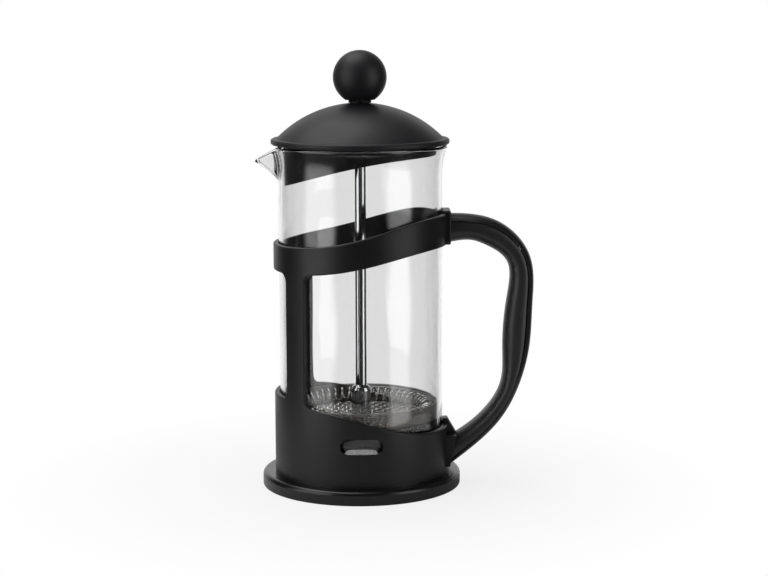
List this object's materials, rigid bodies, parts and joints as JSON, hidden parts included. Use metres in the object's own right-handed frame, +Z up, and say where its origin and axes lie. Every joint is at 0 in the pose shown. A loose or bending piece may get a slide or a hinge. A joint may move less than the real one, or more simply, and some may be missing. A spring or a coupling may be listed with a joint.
{
  "type": "french press coffee maker",
  "caption": "Glass french press in a black plastic frame with slanted band, loop handle, domed lid, ball knob and a sprung mesh plunger",
  "frame": {"origin": "centre of the foot's underside, on the surface it stands on", "axes": "+Z up along the plunger, +X towards the handle, -X towards the spout"},
  "size_m": [0.12, 0.0854, 0.1868],
  "materials": {
    "frame_plastic": "satin black moulded plastic",
    "foot_plastic": "glossy black moulded plastic",
    "lid_plastic": "matte black moulded plastic",
    "glass": "clear borosilicate glass",
    "bush_plastic": "black nylon",
    "rod_chrome": "polished plated steel",
    "filter_steel": "bright stainless steel",
    "mesh_steel": "fine woven stainless steel",
    "spring_steel": "bright spring wire",
    "insert_brass": "plain turned",
    "screw_steel": "zinc plated"
  },
  "bodies": {
    "frame": {"frame": "frame_plastic", "foot": "foot_plastic", "foot_screws": "screw_steel", "handle": "frame_plastic", "handle_strip": "frame_plastic", "handle_screws": "screw_steel"},
    "beaker": {"beaker": "glass"},
    "guide": {"lid_bush": "bush_plastic", "bush_clip": "screw_steel"},
    "lid": {"lid_cap": "lid_plastic", "lid_insert": "lid_plastic"},
    "plunger": {"knob": "lid_plastic", "knob_insert": "insert_brass", "rod": "rod_chrome", "rod_hub": "rod_chrome", "spiral_plate": "filter_steel", "spiral_spring": "spring_steel", "mesh_screen": "mesh_steel", "cross_plate": "filter_steel", "cross_nut": "filter_steel"}
  },
  "joints": [
    {"name": "beaker_lift", "type": "slide", "parent": "frame", "child": "beaker", "axis": [0, 0, 1], "range_m": [0, 0.12]},
    {"name": "lid_lift", "type": "slide", "parent": "beaker", "child": "guide", "axis": [0, 0, 1], "range_m": [0, 0.13]},
    {"name": "lid_turn", "type": "hinge", "parent": "guide", "child": "lid", "pos_m": [0, 0, 0.155], "axis": [0, 0, 1], "continuous": true},
    {"name": "plunger_slide", "type": "slide", "parent": "guide", "child": "plunger", "axis": [0, 0, 1], "range_m": [0, 0.092]}
  ]
}
